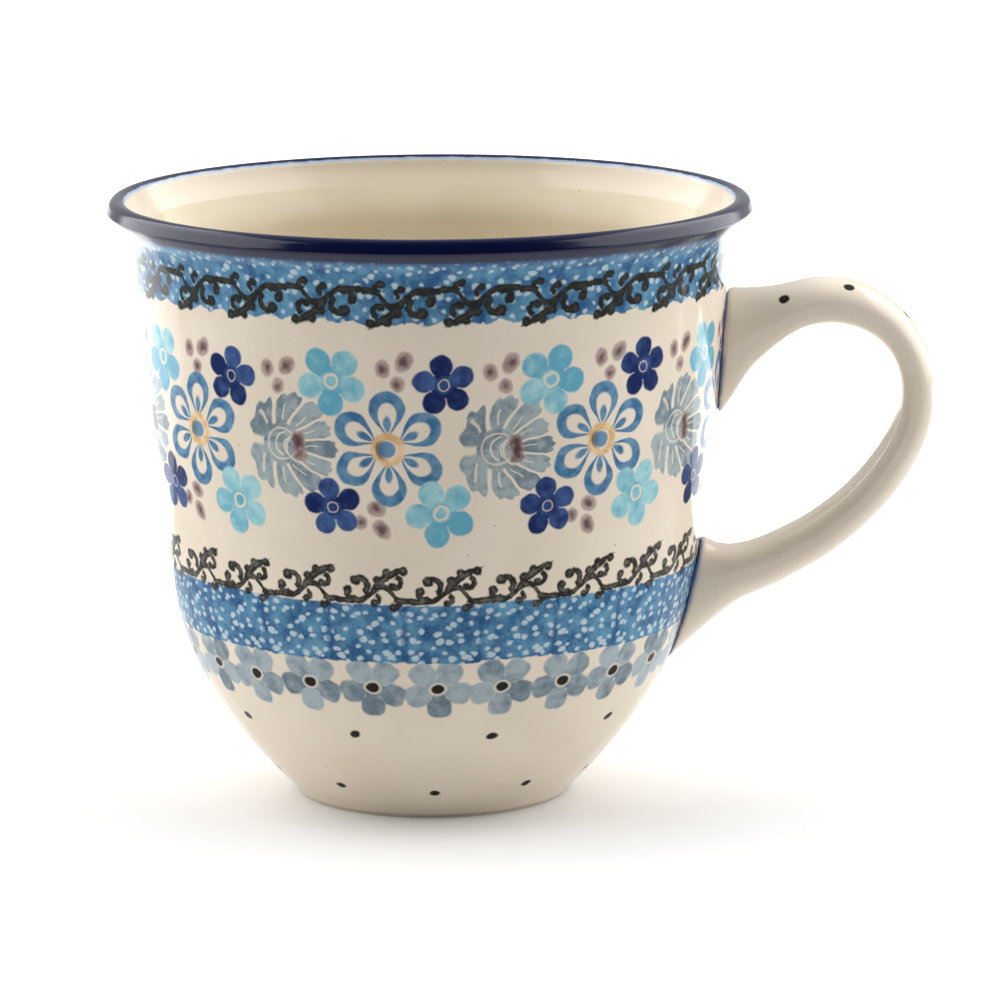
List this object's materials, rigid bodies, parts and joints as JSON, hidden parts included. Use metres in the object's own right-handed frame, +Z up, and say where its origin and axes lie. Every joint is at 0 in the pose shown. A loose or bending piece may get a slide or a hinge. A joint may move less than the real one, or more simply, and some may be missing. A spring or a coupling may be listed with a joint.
{
  "type": "stoneware mug",
  "caption": "Flared stoneware mug with a loop handle, a cobalt lip and a stamped flower band under clear glaze.",
  "frame": {"origin": "middle of the foot ring's underside, on the axis of the bowl", "axes": "+Z up along the axis of the bowl, +X from the axis towards the handle, -Y towards the side that the decoration is seen from"},
  "size_m": [0.1288, 0.1, 0.0938],
  "materials": {
    "stoneware": "bare fired stoneware, fine grained and matt",
    "slip": "fired slip with a brushed cobalt line",
    "decorated_glaze": "clear gloss glaze over cream stoneware with sponge stamped blue flowers, bands and dots",
    "cobalt_glaze": "clear gloss glaze over a solid cobalt brush coat",
    "clear_glaze": "clear gloss glaze over cream stoneware with fine brown specks"
  },
  "bodies": {
    "root": {"mug_body": "stoneware", "handle": "stoneware", "upper_handle_slip": "slip", "lower_handle_slip": "slip", "outer_glaze": "decorated_glaze", "rim_glaze": "cobalt_glaze", "inner_glaze": "clear_glaze", "base_glaze": "clear_glaze", "handle_glaze": "clear_glaze"}
  },
  "joints": []
}
